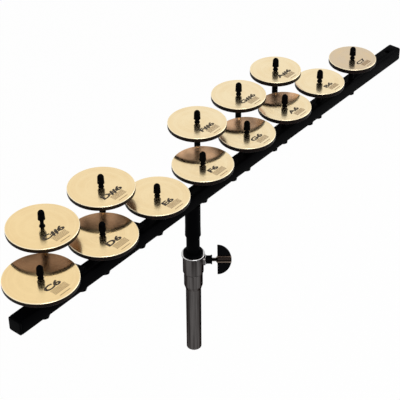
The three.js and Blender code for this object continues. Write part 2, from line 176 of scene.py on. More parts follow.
class CrotalesStand(PropertyGroup):
    """Sizes of the bar's ends and the stand's top that their solids don't give."""
    edge_rounding: length("Edge rounding", "Radius on the stand's turned edges", 0.35)
    bar_corner_radius: length("Bar corner", "Radius on the bar's corners", 2)
    bar_edge: length("Bar edge", "Bevel round the bar's holes and ends", 0.4)
    bar_wall: length("Bar wall", "Wall of the square bar", 2)
    plate_thickness: length("Cap plate", "Thickness of an end cap's plate", 3.5)
    plate_rounding: length("Cap plate rounding", "Rounding of an end cap's outer edge", 1.2)
    tube_wall: length("Tube wall", "Wall of the lower tube", 1.2)
    rod_wall: length("Rod wall", "Wall of the rod", 1.5)
    fit_gap: length("Fit gap", "Clearance between pieces that fit each other", 0.3)
    receiver_wall: length("Sleeve wall", "Wall of the sleeve under the bar", 1.1)
    receiver_lip_height: length("Sleeve flare", "Height of the sleeve's flared end", 16)
    receiver_lip_reach: length("Sleeve flare reach", "How far the sleeve flares out", 0.4)
    ring_taper_height: length("Ring taper", "Height of the taper at the ring's foot", 6.5)
    ring_foot_wall: length("Ring foot wall", "Wall at the ring's foot", 0.45)
    collar_lip_height: length("Collar lip", "Height of the collar's lip", 2.6)
    collar_lip_reach: length("Collar lip reach", "How far the lip stands out", 2)
    collar_chamfer: length("Collar chamfer", "Chamfer at the collar's foot", 1.6)
    collar_wall: length("Collar wall", "Wall of the collar", 3.75)
    groove_depth: length("Groove depth", "Depth of the groove under the collar's lip", 0.35)
    bushing_body: length("Bushing body", "Length of the bushing inside the collar", 15.7)
    bushing_rounding: length("Bushing rounding", "Rounding of the bushing's flange", 1.2)
    key_width: length("Key width", "Width of the bushing's key", 3)
    key_depth: length("Key depth", "How far the key stands out", 1)
    key_azimuth: angle("Key azimuth", "Direction of the key from the stand's axis", -140)
    around: count("Steps around", "Faces round a tube", 96)


class CrotalesClamp(PropertyGroup):
    """Sizes of the wing screw and its boss."""
    azimuth: angle("Screw azimuth", "Direction of the wing screw from the stand's axis", -50)
    screw_diameter: length("Screw diameter", "Diameter of the screw", 6)
    screw_pitch: length("Screw pitch", "Rise of the screw's thread in one turn", 1)
    below_collar_top: length("Screw depth", "Height of the screw's axis below the collar's top", 13)
    pad_diameter: length("Pad diameter", "Diameter of the pad on the collar", 17)
    pad_stand_out: length("Pad height", "How far the pad stands out of the collar", 2.6)
    boss_diameter: length("Boss diameter", "Diameter of the screw's boss", 13.4)
    boss_length: length("Boss length", "Length of the screw's boss", 9.5)
    boss_rim_reach: length("Boss rim reach", "How far the boss's rim stands out", 0.4)
    boss_rim_height: length("Boss rim", "Thickness of the boss's rim", 1.8)
    screw_showing: length("Screw showing", "Bare screw between the boss and the wing", 5.6)
    hub_diameter: length("Wing hub", "Diameter of the wing's hub", 11.8)
    hub_lead: length("Hub lead", "Length of the hub's tapered start", 2.2)
    wing_reach: length("Wing reach", "How far the wing reaches along the screw", 21)
    wing_half_height: length("Wing half height", "Half of the wing's straight side", 22)
    wing_thickness: length("Wing thickness", "Thickness of the wing", 3.6)
    wing_edge: length("Wing edge", "Rounding of the wing's edge", 0.9)
    wing_corner: length("Wing corner", "Rounding of the wing's two corners", 1.4)
    wing_lean: angle("Wing lean", "How far the wing leans back from upright", 39)
    around: count("Steps around", "Faces round the screw and boss", 64)


class CrotalesFinishes(PropertyGroup):
    """Colours of the finishes."""
    bronze: colour("Bronze", "Polished bronze of the lowest disc", "#F3D7A1")
    bronze_middle: colour("Middle bronze", "Polished bronze of the middle discs", "#F3E0B8")
    bronze_high: colour("High bronze", "Polished bronze of the highest disc", "#D3C0A4")
    bronze_shade: colour("Bronze shade", "Darker turned rings in the bronze", "#E4C48F")
    # The bevel's pale colour paints the highlight along the rim, on top of its real reflection.
    painted_bevel_highlight: colour("Bronze edge", "Freshly cut bevel round a disc's top", "#FFF0CE")
    bronze_under: colour("Underside", "Turned underside of the higher discs", "#E6CCC8")
    under_low: colour("Low underside", "Turned underside of the lowest discs", "#988280")
    # The underside's darker patches are painted reflections of the black bar and dark surroundings.
    under_painted_dark_reflection: colour("Underside shade", "Darker patches of the underside", "#463838")
    # The rim's near-black is a painted dark reflection on a disc's edge, and its brown patches are
    # painted glints.
    rim: colour("Rim", "Dark cast skin on a disc's edge", "#0D0807")
    rim_painted_glints: colour("Worn rim", "Brown patches where the rim's skin is thin", "#3A2620")
    ink_dark: colour("Dark ink", "Printed note names", "#170F0E")
    ink_tan: colour("Tan ink", "Printed lines", "#6B4C2C")
    rubber: colour("Rubber", "Caps on the posts", "#020203")
    rubber_bloom: colour("Rubber bloom", "Paler bloom on the rubber", "#09090A")
    zinc: colour("Black zinc", "Posts, heads and bolts", "#030304")
    zinc_worn: colour("Worn zinc", "Paler patches in the plating", "#0A0A0B")
    powder: colour("Powder coat", "Bar, arms and sleeve", "#030304")
    powder_rubbed: colour("Rubbed powder", "Rubbed patches of the powder coat", "#080809")
    nylon: colour("Nylon", "Bushing, end caps and wing", "#030304")
    nylon_grain: colour("Nylon grain", "Paler grain in the nylon", "#0B0B0C")
    steel: colour("Oiled steel", "Screw and hub of the wing", "#15110F")
    # Pale lines painted as highlights on the screw and hub.
    steel_painted_highlight: colour("Bare steel", "Rubbed lines on the screw and hub", "#8A7A6C")
    # The chrome's dark grey, its darker streaks and its grey tint at flat angles are painted
    # reflections of a dark studio.
    chrome: colour("Chrome", "Plated collar, ring and tube", "#585554")
    chrome_painted_reflection_streaks: colour("Chrome shade", "Darker streaks in the plating", "#312E2D")
    chrome_flat_angle_painted_shade: colour("Chrome tint", "Colour of the plating seen at a flat angle", "#8A8888")
    # The lip's pale chrome is a painted highlight round the collar's lip.
    chrome_lip_painted_highlight: colour("Bright chrome", "Polished lip of the collar", "#D8D7D6")


class CrotalesStage(PropertyGroup):
    """The camera, the lamps and the floor."""
    camera_place: place("Camera place", "Where the camera stands", (-1.14118, -0.96023, 1.38999))
    camera_heading: angle("Camera heading", "Direction of view from +X", 39.669)
    camera_dip: angle("Camera dip", "How far the view looks down", 36.62)
    camera_roll: angle("Camera roll", "Roll of the camera to its right", 0.38)
    frame_width: FloatProperty(name="Frame width", description="Width of the camera's frame in "
                               "millimetres", default=36)
    lens: FloatProperty(name="Lens", description="Focal length in millimetres", default=116.83)
    floor_drop: length("Floor drop", "How far the floor lies below the tube's cut end", 600)
    floor_size: length("Floor size", "Width of the floor", 24000)
    floor_white: colour("Floor white", "Matt white of the floor", "#EDEDEB")
    floor_glow_share: share("Floor glow", "Share of plain white in what the camera sees", 0.97)
    lamp_aim: place("Lamp aim", "Point that both lamps face", (0.05, 0, 0.3))
    lamp_size: length("Lamp size", "Width of both lamps", 1200)
    key_place: place("Key place", "Where the key lamp stands", (-0.9, -1.3, 1.9))
    key_power: FloatProperty(name="Key power", description="Watts of the key lamp", default=26)
    fill_place: place("Fill place", "Where the fill lamp stands", (1.6, -0.8, 1.3))
    fill_power: FloatProperty(name="Fill power", description="Watts of the fill lamp", default=12)
    sky_strength: share("Sky strength", "Strength of the sky on matt surfaces", 0.6)


def span(node):
    """The lowest and highest corner of a solid, as arrays."""
    low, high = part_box(node)
    return np.array(low), np.array(high)


def axis_of(node):
    """The middle of a solid in plan."""
    low, high = span(node)
    return (low[:2] + high[:2]) / 2


def outer_radius(node):
    """Largest radius of a turned solid."""
    low, high = span(node)
    return (high[1] - low[1]) / 2


def fit_gap():
    """Clearance between pieces that fit each other."""
    return bpy.context.scene.crotales_stand.fit_gap


def filleted(corners, radii, steps=4, ring=True):
    """Rounds a polygon's corners. Each corner with a radius becomes an arc that touches both of
    its sides; its centre lies on the corner's bisector."""
    corners = np.asarray(corners, float)
    total = len(corners)
    rounded = []
    for i, (corner, radius) in enumerate(zip(corners, radii)):
        before = corners[i - 1] - corner
        after = corners[(i + 1) % total] - corner
        if radius <= 0 or (not ring and i in (0, total - 1)):
            rounded.append(corner[None])
            continue
        before_length, after_length = np.linalg.norm(before), np.linalg.norm(after)
        before, after = before / before_length, after / after_length
        half = math.acos(np.clip(before @ after, -1, 1)) / 2
        reach = min(radius / math.tan(half), before_length / 2, after_length / 2)
        radius = reach * math.tan(half)
        bisector = (before + after) / np.linalg.norm(before + after)
        centre = corner + bisector * radius / math.sin(half)
        start, end = corner + before * reach - centre, corner + after * reach - centre
        sweep = math.atan2(start[0] * end[1] - start[1] * end[0], start @ end)
        turn = np.linspace(0, sweep, steps + 1)[:, None]
        across = np.array([-start[1], start[0]])
        rounded.append(centre + start * np.cos(turn) + across * np.sin(turn))
    return np.concatenate(rounded)


def supported(outline, margin, ring=True):
    """Adds a point near both ends of each long side, so that smooth shading stays at the edges."""
    following = np.roll(outline, -1, axis=0)
    if not ring:
        following[-1] = outline[-1]
    side = following - outline
    reach = np.linalg.norm(side, axis=1)
    points = []
    for point, step, size in zip(outline, side, reach):
        points.append(point)
        if size > 4 * margin:
            points.append(point + step * margin / size)
            points.append(point + step * (1 - margin / size))
    return np.array(points)


def grid_shell(points, ring=False, finish=None, along=None):
    """A closed surface over a grid. Rows follow the profile and columns go round it, both so that
    faces point out. A ring joins its last row to its first; otherwise each end is closed by a fan
    to its middle. The UV is the share of the turn and the place along the profile."""
    rows, columns = points.shape[:2]
    bands = rows if ring else rows - 1
    finish = np.zeros(rows, int) if finish is None else finish
    along = np.arange(rows) / rows if along is None else along
    row, column = np.meshgrid(np.arange(bands), np.arange(columns), indexing="ij")
    next_row, next_column = (row + 1) % rows, (column + 1) % columns
    turn, next_turn = column / columns, (column + 1) / columns
    here, there = along[row], along[next_row]
    quads = np.stack([row * columns + column, row * columns + next_column,
                      next_row * columns + next_column, next_row * columns + column], axis=-1)
    uv = np.stack([turn, here, next_turn, here, next_turn, there, turn, there], axis=-1)
    faces, face_finish = quads.reshape(-1, 4).tolist(), finish[row].ravel()
    points, corners = points.reshape(-1, 3), uv.reshape(-1, 2)
    if ring:
        return Shell(points, faces, face_finish, corners)
    around, after = column[0], next_column[0]
    for end, first, second, turns, band in ((0, after, around, (next_turn[0], turn[0]), 0),
                                            (rows - 1, around, after, (turn[0], next_turn[0]),
                                             bands - 1)):
        first, second = end * columns + first, end * columns + second
        pole = np.full(columns, len(points))
        level = np.full(columns, along[end])
        fan_uv = np.stack([turns[0], level, turns[0], level, turns[1], level], axis=-1)
        faces += np.stack([pole, first, second], axis=-1).tolist()
        points = np.concatenate([points, points[first].mean(axis=0)[None]])
        face_finish = np.concatenate([face_finish, np.full(columns, finish[band])])
        corners = np.concatenate([corners, fan_uv.reshape(-1, 2)])
    return Shell(points, faces, face_finish, corners)


def turned(profile, around, ring=False, shape=None, finish=None, along=None):
    """A profile of radius and height turned about Z: x = r cos t, y = r sin t, z = height.
    Shape may change the radius by angle and height, for a hexagon or a thread. The turning UV
    holds the height, or what along says."""
    theta = np.arange(around)[None, :] * (2 * np.pi / around)
    radius = np.broadcast_to(profile[:, :1], (len(profile), around))
    height = np.broadcast_to(profile[:, 1:], (len(profile), around))
    if shape:
        radius = shape(theta, radius, height)
    points = np.stack([radius * np.cos(theta), radius * np.sin(theta), height], axis=-1)
    return grid_shell(points, ring, finish, profile[:, 1] if along is None else along)


def lofted(outline, centre, steps, finish=None):
    """An outline drawn in towards its centre: for each step of share and height, the point is
    centre + share * (outline - centre), at that height."""
    share_of, height = np.asarray(steps, float).T
    flat = centre + share_of[:, None, None] * (outline - centre)[None]
    lift = np.broadcast_to(height[:, None, None], flat.shape[:2] + (1,))
    return grid_shell(np.concatenate([flat, lift], axis=-1), finish=finish)


def moved(shell, origin, x_axis=(1, 0, 0), y_axis=(0, 1, 0), z_axis=(0, 0, 1)):
    """A shell put at an origin, with its own axes along the three given ones."""
    axes = np.array([x_axis, y_axis, z_axis], float)
    return shell._replace(points=shell.points @ axes + np.asarray(origin, float))


def upright(shell, node):
    """A shell turned about Z, put on a solid's own axis."""
    return moved(shell, (*axis_of(node), 0))


def hexagon_radius(theta, across_flats):
    """Distance from a hexagon's centre to its edge, with flats facing +X and -X."""
    from_flat = (theta + np.pi / 6) % (np.pi / 3) - np.pi / 6
    return across_flats / 2 / np.cos(from_flat)


def thread_cut(theta, height, low, high, pitch, depth):
    """Depth of a right-hand thread: half of depth times 1 - cos of the turns since the crest."""
    phase = 2 * np.pi * height / pitch - theta
    inside = (height > low) & (height < high)
    return np.where(inside, depth * (1 - np.cos(phase)) / 2, 0)


def joined(shells):
    """Several shells as one set of arrays."""
    offsets = np.cumsum([0] + [len(shell.points) for shell in shells])
    faces = []
    for shell, offset in zip(shells, offsets):
        faces += [[int(corner + offset) for corner in face] for face in shell.faces]
    return Shell(np.concatenate([shell.points for shell in shells]), faces,
                 np.concatenate([shell.finish for shell in shells]),
                 np.concatenate([shell.uv for shell in shells]))


def stand_in(node, mesh):
    """The object that takes a solid's place with this mesh, on its body."""
    made = bpy.data.objects.new(f"{node}_finish", mesh)
    bpy.context.scene.collection.objects.link(made)
    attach(made, BODY_OF[node])
    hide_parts(node)
    return made


def replace_node(node, shells, materials):
    """Puts shells in place of a solid, as one mesh with these materials."""
    whole = joined(shells)
    mesh = bpy.data.meshes.new(f"{node}_finish")
    mesh.from_pydata(whole.points.tolist(), [], whole.faces)
    mesh.polygons.foreach_set("material_index", whole.finish.astype(np.int32))
    uv_layer = mesh.uv_layers.new(name=TURNING_UV)
    uv_layer.data.foreach_set("uv", whole.uv.astype(np.float32).ravel())
    for material in materials:
        mesh.materials.append(bpy.data.materials[material])
    mesh.shade_smooth()
    mesh.set_sharp_from_angle(angle=SHARP_ANGLE)
    return stand_in(node, mesh)


def bevelled_copy(node, edge, material):
    """A solid's own shape, with its doubled points merged, its flat faces joined and its sharp
    edges bevelled."""
    doubled, flat, sharp = MM / 1000, math.radians(1), math.radians(40)
    mesh = bpy.data.meshes.new(f"{node}_finish")
    merged = bmesh.new()
    merged.from_mesh(frame["nodes"][node].data)
    bmesh.ops.remove_doubles(merged, verts=merged.verts, dist=doubled)
    bmesh.ops.dissolve_limit(merged, angle_limit=flat, verts=merged.verts, edges=merged.edges)
    merged.to_mesh(mesh)
    merged.free()
    mesh.materials.clear()
    mesh.materials.append(bpy.data.materials[material])
    mesh.shade_smooth()
    bevel = stand_in(node, mesh).modifiers.new("edges", "BEVEL")
    bevel.width = edge
    bevel.segments = 2
    bevel.limit_method = "ANGLE"
    bevel.angle_limit = sharp
    bevel.harden_normals = True


def add_node(tree, kind, settings=None, output=0):
    """Adds a node and gives one of its outputs. A setting names a property or a socket, and holds
    a value or another node's output, which is linked to it."""
    made = tree.nodes.new(kind)
    for key, value in (settings or {}).items():
        if isinstance(value, bpy.types.NodeSocket):
            tree.links.new(value, made.inputs[key])
        elif isinstance(key, str) and hasattr(made, key):
            setattr(made, key, value)
        else:
            made.inputs[key].default_value = value
    return made.outputs[output] if made.outputs else None


def new_tree(name):
    """The empty node tree of a new material."""
    material = bpy.data.materials.new(name)
    material.use_nodes = True
    material.node_tree.nodes.clear()
    return material.node_tree


def pattern(tree, form, millimetres, detail=4):
    """A pattern from 0 to 1 whose features are about this many millimetres across. Patches lie
    anywhere on the piece, streaks are patches drawn out along Z, and rings are the lathe's: noise
    along the turned profile, the same all the way round."""
    texture = {"Scale": 1 / (millimetres * MM), "Detail": detail}
    if form == "rings":
        turning = add_node(tree, "ShaderNodeUVMap", {"uv_map": TURNING_UV})
        profile = add_node(tree, "ShaderNodeSeparateXYZ", {"Vector": turning}, "Y")
        texture |= {"noise_dimensions": "1D", "W": profile, "Detail": 2}
    else:
        point = add_node(tree, "ShaderNodeTexCoord", output="Object")
        if form == "streaks":
            drawn_out = (1, 1, 0.03)
            point = add_node(tree, "ShaderNodeMapping", {"Scale": drawn_out, "Vector": point})
        texture["Vector"] = point
    return add_node(tree, "ShaderNodeTexNoise", texture)


def changing(tree, value, low, high, first, second, most=1):
    """The first colour, which gives way to the second as a value goes from low to high. At the
    high end this share of the second is in it."""
    part = add_node(tree, "ShaderNodeMapRange",
                    {"Value": value, "From Min": low, "From Max": high, "To Max": most})
    return add_node(tree, "ShaderNodeMix",
                    {"data_type": "RGBA", "Factor": part, 6: first, 7: second}, output=2)


def along_bar(tree):
    """The place along the bar, which tells one disc from another."""
    point = add_node(tree, "ShaderNodeTexCoord", output="Object")
    return add_node(tree, "ShaderNodeSeparateXYZ", {"Vector": point}, "X")


def lathe_sheen(tree, strength):
    """Settings of bare turned metal, whose grooves blur reflections across them."""
    tangent = add_node(tree, "ShaderNodeTangent",
                       {"direction_type": "UV_MAP", "uv_map": TURNING_UV})
    return {"Metallic": 1, "Anisotropic": strength, "Anisotropic Rotation": 0.25,
            "Tangent": tangent}


def surface(tree, settings, tint, shine, relief=None):
    """Ends a material in its shader. Shine is a pattern with the roughness where it is low and
    where it is high, and relief is a pattern with the height of its bumps in millimetres. Noise
    lies mostly between 0.3 and 0.7, so shine is read from there."""
    noise_low, noise_high = 0.3, 0.7
    follows, smooth, rough = shine
    settings = settings | {"Base Color": tint}
    settings["Roughness"] = add_node(tree, "ShaderNodeMapRange", {
        "Value": follows, "From Min": noise_low, "From Max": noise_high, "To Min": smooth,
        "To Max": rough})
    if relief:
        height, millimetres = relief
        settings["Normal"] = add_node(tree, "ShaderNodeBump",
                                      {"Height": height, "Distance": millimetres * MM})
    shader = add_node(tree, "ShaderNodeBsdfPrincipled", settings)
    add_node(tree, "ShaderNodeOutputMaterial", {"Surface": shader})


def turned_bronze(finishes):
    """Bell bronze, turned and polished: a warm mirror, blurred across its fine rings, paler on the
    middle discs and greyer on the highest. The cutter's marks are some 0.2 mm apart, too fine to
    show, so the rings are drawn at 1.2 mm."""
    tree = new_tree("polished_turned_bronze")
    along = along_bar(tree)
    fresh = changing(tree, along, axis_of("disc_c")[0], axis_of("disc_g")[0], finishes.bronze,
                     finishes.bronze_middle)
    before_last = (span("disc_b")[1][0] + span("disc_c_high")[0][0]) / 2
    fresh = changing(tree, along, before_last - MM, before_last + MM, fresh,
                     finishes.bronze_high)
    uneven = add_node(tree, "ShaderNodeMath", {
        "operation": "MULTIPLY", 0: pattern(tree, "rings", 6),
        1: pattern(tree, "patches", 28)})
    fine = pattern(tree, "rings", 1.2)
    surface(tree, lathe_sheen(tree, 0.9),
            tint=changing(tree, uneven, 0.15, 0.5, fresh, finishes.bronze_shade, most=0.5),
            shine=(fine, 0.12, 0.18), relief=(fine, 0.002))


def bevel_with_painted_highlight(finishes):
    """The bevel round a disc's top: the palest bronze, half matt, so that its real reflection has a
    painted highlight of the bright line round the rim on top of it, with its cutter's marks drawn at
    0.4 mm to show."""
    tree = new_tree("bright_cut_bronze_edge")
    lines = pattern(tree, "rings", 0.4)
    surface(tree, {"Metallic": 0.6, "Specular IOR Level": 0.5},
            tint=changing(tree, lines, 0.4, 0.8, finishes.painted_bevel_highlight, finishes.bronze, most=0.5),
            shine=(lines, 0.15, 0.25))


def turned_underside(finishes):
    """The same bronze, turned but not polished: duller, browner, with coarser rings, and darkest on the
    lowest discs. Its darker patches are painted reflections of the black bar and dark surroundings. The
    rings are drawn at 2 mm, several times their real spacing, to show."""
    tree = new_tree("turned_bronze_underside")
    clean = changing(tree, along_bar(tree), axis_of("disc_d")[0], axis_of("disc_f")[0],
                     finishes.under_low, finishes.bronze_under)
    dark_reflection_patches = pattern(tree, "patches", 40, detail=2)
    coarse = pattern(tree, "rings", 2)
    surface(tree, lathe_sheen(tree, 0.8),
            tint=changing(tree, dark_reflection_patches, 0.4, 0.68, clean, finishes.under_painted_dark_reflection),
            shine=(coarse, 0.24, 0.34), relief=(coarse, 0.01))


def painted_dark_rim(finishes):
    """Bronze rim painted near black: a painted dark reflection of the surroundings below the disc, with
    brown patches painted in it as faint glints, slightly pitted.
    """
    tree = new_tree("dark_cast_bronze_rim")
    skin = pattern(tree, "patches", 3)
    surface(tree, {"Metallic": 0.3, "Specular IOR Level": 0.06},
            tint=changing(tree, skin, 0.5, 0.8, finishes.rim, finishes.rim_painted_glints, most=0.6),
            shine=(skin, 0.4, 0.6), relief=(pattern(tree, "patches", 1.2), 0.05))


def printed_ink(name, ink, finishes):
    """Baked screen ink: matt, a little worn where the bronze shows through."""
    tree = new_tree(name)
    wear = pattern(tree, "patches", 0.8)
    surface(tree, {"Specular IOR Level": 0.25},
            tint=changing(tree, wear, 0.55, 0.75, ink, finishes.bronze, most=0.5),
            shine=(wear, 0.5, 0.7))


def moulded_rubber(finishes):
    """Moulded black rubber: matt, with a grain that is drawn at 0.5 mm, coarser than the real one,
    and a trace of bloom."""
    tree = new_tree("moulded_black_rubber")
    bloom = pattern(tree, "patches", 4)
    surface(tree, {"Specular IOR Level": 0.008},
            tint=changing(tree, bloom, 0.45, 0.75, finishes.rubber, finishes.rubber_bloom),
            shine=(bloom, 0.45, 0.6), relief=(pattern(tree, "patches", 0.5), 0.02))


def black_zinc(finishes):
    """Steel with black zinc plating: dark metal with turning lines, drawn at 0.6 mm to show."""
    tree = new_tree("black_zinc_plated_steel")
    patchy = pattern(tree, "patches", 5)
    surface(tree, {"Metallic": 0.05, "Specular IOR Level": 0.01},
            tint=changing(tree, patchy, 0.4, 0.8, finishes.zinc, finishes.zinc_worn),
            shine=(patchy, 0.3, 0.45), relief=(pattern(tree, "rings", 0.6), 0.006))


def powder_coat(finishes):
    """Black powder coat: satin, with the orange peel of baked powder and lightly rubbed patches."""
    tree = new_tree("black_powder_coat")
    rubbed = pattern(tree, "patches", 35)
    surface(tree, {"Specular IOR Level": 0.006},
            tint=changing(tree, rubbed, 0.5, 0.8, finishes.powder, finishes.powder_rubbed),
            shine=(rubbed, 0.4, 0.55), relief=(pattern(tree, "patches", 1.6, detail=2), 0.03))


def moulded_nylon(finishes):
    """Moulded black nylon: satin, with a spark-eroded grain. The real grain is near 0.1 mm and is
    drawn at 0.7 mm to show."""
    tree = new_tree("moulded_black_nylon")
    grain = pattern(tree, "patches", 0.7)
    surface(tree, {"Specular IOR Level": 0.008},
            tint=changing(tree, grain, 0.5, 0.8, finishes.nylon, finishes.nylon_grain),
            shine=(grain, 0.28, 0.4), relief=(grain, 0.015))


def oiled_steel(finishes):
    """Oiled steel of the screw and the wing's hub: dark, with four pale lines along its length painted
    as highlights, where the cosine of four times the turn since the first line is high."""
    tree = new_tree("oiled_steel")
    turning = add_node(tree, "ShaderNodeUVMap", {"uv_map": TURNING_UV})
    turn = add_node(tree, "ShaderNodeSeparateXYZ", {"Vector": turning}, "X")
    highlight_lines, first_highlight = 4, 0.0233
    phase = add_node(tree, "ShaderNodeMapRange", {
        "clamp": False, "Value": turn, "From Min": first_highlight,
        "From Max": first_highlight + 1 / highlight_lines, "To Max": 2 * math.pi})
    # Painted highlights: pale where this cosine is high.
    rubbed = add_node(tree, "ShaderNodeMath", {"operation": "COSINE", 0: phase})
    surface(tree, {"Metallic": 1},
            tint=changing(tree, rubbed, 0.6, 0.95, finishes.steel, finishes.steel_painted_highlight),
            shine=(pattern(tree, "rings", 1.5), 0.2, 0.35))


def chrome_plate(finishes):
    """Chrome plate on drawn steel tube: a dark grey mirror. Its dark grey, its darker streaks along the
    tube and its grey tint at flat angles are painted reflections of a dark studio.
    """
    tree = new_tree("chrome_plated_steel")
    lines = pattern(tree, "streaks", 4)
    surface(tree, {"Metallic": 1, "Specular Tint": finishes.chrome_flat_angle_painted_shade},
            tint=changing(tree, lines, 0.38, 0.62, finishes.chrome, finishes.chrome_painted_reflection_streaks),
            shine=(pattern(tree, "patches", 14), 0.1, 0.24), relief=(lines, 0.003))


def lip_chrome_with_painted_highlight(finishes):
    """The collar's lip: a pale mirror with turning lines at 0.5 mm, kept pale against the darkened
    chrome elsewhere as a painted highlight round the lip.
    """
    tree = new_tree("polished_chrome_plate")
    lines = pattern(tree, "rings", 0.5)
    surface(tree, {"Metallic": 1},
            tint=changing(tree, lines, 0.4, 0.7, finishes.chrome_lip_painted_highlight, finishes.chrome, most=0.5),
            shine=(lines, 0.06, 0.14))


def ribbon(path, width, thickness, base, finish_number):
    """A thin closed strip along a flat path: a rectangle carried along it, closed at both ends."""
    step = np.gradient(path, axis=0)
    side = np.stack([-step[:, 1], step[:, 0]], axis=-1)
    side = side / np.linalg.norm(side, axis=1, keepdims=True) * width / 2
    corners = [(-side, base), (side, base), (side, base + thickness), (-side, base + thickness)]
    ring = [np.concatenate([path + offset, np.full((len(path), 1), height)], axis=-1)
            for offset, height in corners]
    return grid_shell(np.stack(ring, axis=1), finish=np.full(len(path), finish_number))


def note_label(note):
    """A note's plain name with its octave, such as C#6."""
    name = note.split("_")[0].upper() + ("#" if note.endswith("_sharp") else "")
    return name + ("7" if note.endswith("_high") else "6")


def letters(text, sizes, height, centre, base, finish_number):
    """Plain bold letters as thin solids, standing on the disc: each point of the font's outline,
    widened along X and moved to the centre."""
    thickness, capital_share = sizes.ink_thickness, 0.7
    curve = bpy.data.curves.new("letters", "FONT")
    curve.body = text
    curve.size = height / capital_share
    curve.align_x = "CENTER"
    curve.align_y = "CENTER"
    curve.extrude = thickness / 2
    curve.offset = height * sizes.letter_weight_share
    curve.resolution_u = 3
    holder = bpy.data.objects.new("letters", curve)
    mesh = bpy.data.meshes.new_from_object(holder)
    merged = bmesh.new()
    merged.from_mesh(mesh)
    bmesh.ops.remove_doubles(merged, verts=merged.verts, dist=thickness / 10)
    merged.to_mesh(mesh)
    merged.free()
    points = np.empty(len(mesh.vertices) * 3)
    mesh.vertices.foreach_get("co", points)
    points = points.reshape(-1, 3) * np.array([sizes.letter_width_share, 1, 1])
    points = points + np.array([*centre, base + thickness / 2])
    faces = [list(face.vertices) for face in mesh.polygons]
    corners = sum(len(face) for face in faces)
    bpy.data.objects.remove(holder)
    bpy.data.curves.remove(curve)
    bpy.data.meshes.remove(mesh)
    return Shell(points, faces, np.full(len(faces), finish_number), np.zeros((corners, 2)))


def disc_marks(note, sizes, radius, top):
    """The printed note name, a stave of five fine lines below it, and a ruled line."""
    ink = sizes.ink_thickness
    base = top - ink / 3
    centre = (-sizes.mark_aside_share * radius, -sizes.letter_place_share * radius)
    shells = [letters(note_label(note), sizes, sizes.letter_height_share * radius, centre, base,
                      DARK_INK)]
    lines = [(sizes.stave_place_share + i * sizes.stave_pitch_share, sizes.stave_width_share,
              sizes.stave_aside_share) for i in range(-2, 3)]
    lines.append((sizes.rule_place_share, sizes.rule_width_share, 0))
    points_along = 9
    for from_centre, width, aside in lines:
        reach = width * radius / 2
        across = aside * radius + np.linspace(-reach, reach, points_along)
        path = np.stack([across, np.full(points_along, -from_centre * radius)], axis=-1)
        shells.append(ribbon(path, sizes.mark_stroke, ink, base, TAN_INK))
    return shells


def disc_shells(note, sizes):
    """A disc: hub, dark rim, bright bevel and polished top as one turned ring, with its marks. A
    band's finish follows from how far out and up its middle lies."""
    low, high = span(f"disc_{note}")
    radius = (high[0] - low[0]) / 2
    seat, top = low[2], high[2]
    under = seat + sizes.hub_depth
    bore, bevel = sizes.bore_diameter / 2, sizes.rim_bevel
    corners = [(bore, seat), (sizes.hub_foot_diameter / 2, seat), (sizes.hub_diameter / 2, under),
               (radius, under), (radius, top), (bore, top)]
    outline = filleted(corners, [bevel / 2, sizes.hub_fillet, sizes.hub_fillet, bevel, bevel,
                                 bevel / 2])
    profile = supported(outline, bevel / 2)
    out, up = ((profile + np.roll(profile, -1, axis=0)) / 2).T
    flat_end = radius - bevel * 0.9
    number = np.full(len(profile), UNDERSIDE)
    number[out > radius - bevel / 2] = RIM
    number[up > top - bevel] = EDGE
    number[(up > top - bevel / 2) & (out < flat_end)] = POLISHED
    number[out < bore + bevel / 2] = POLISHED
    disc = turned(profile, sizes.around, True, finish=number, along=profile[:, 0])
    return [disc] + disc_marks(note, sizes, radius, top)


def hex_head(sizes, low, head_top):
    """Profile of a flanged hex head: chamfered foot, flats and round flange, and the height where
    the flats end."""
    flange_low = head_top - sizes.flange_height
    corner = sizes.across_flats / math.sqrt(3)
    chamfer, flange = sizes.head_chamfer, sizes.flange_diameter / 2
    rounding, chamfer_steps = sizes.flange_height / 4, 6
    corners = [(sizes.across_flats / 2 - chamfer / 2, low), (corner, low + chamfer),
               (corner, flange_low), (flange, flange_low), (flange, head_top),
               (sizes.diameter / 2, head_top)]
    head = filleted(corners, [0, 0, 0, rounding, rounding, 0], ring=False)
    head = supported(head, rounding, ring=False)
    chamfer_rows = np.linspace(head[0], head[1], chamfer_steps, endpoint=False)[1:]
    flats_end = flange_low + rounding / 8
    return np.concatenate([head[:1], chamfer_rows, head[1:]]), flats_end


def thread_profile(radius, low, high, pitch):
    """Profile of a threaded stretch before its thread is cut: one radius, with eight rows to each
    turn of the thread."""
    rows_each = 8
    rows = np.linspace(low, high, int(rows_each * (high - low) / pitch) + 2)
    return np.stack([np.full(len(rows), radius), rows], axis=-1)


def headed_shell(node, sizes, thread_high, upper, more_cut=None):
    """A post or bolt that hangs by its hex head under the bar: the head, the shank with its thread
    from the bar's top to a height, and the upper profile. A hexed radius is the lesser of the
    profile's and the hexagon's, and threads are cut as thread_cut says."""
    bar_low, bar_high = (corner[2] for corner in span("bar"))
    head, flats_end = hex_head(sizes, span(node)[0][2], bar_low - fit_gap())
    pitch = sizes.shank_pitch
    shank = thread_profile(sizes.diameter / 2, bar_high, thread_high, pitch)

    def shape(theta, radius, height):
        hexed = np.minimum(radius, hexagon_radius(theta, sizes.across_flats))
        radius = np.where(height < flats_end, hexed, radius)
        radius = radius - thread_cut(theta, height, bar_high, thread_high, pitch,
                                     pitch * sizes.thread_share)
        return more_cut(theta, radius, height) if more_cut else radius

    profile = np.concatenate([head, shank, upper])
    return upright(turned(profile, sizes.around, shape=shape), node)


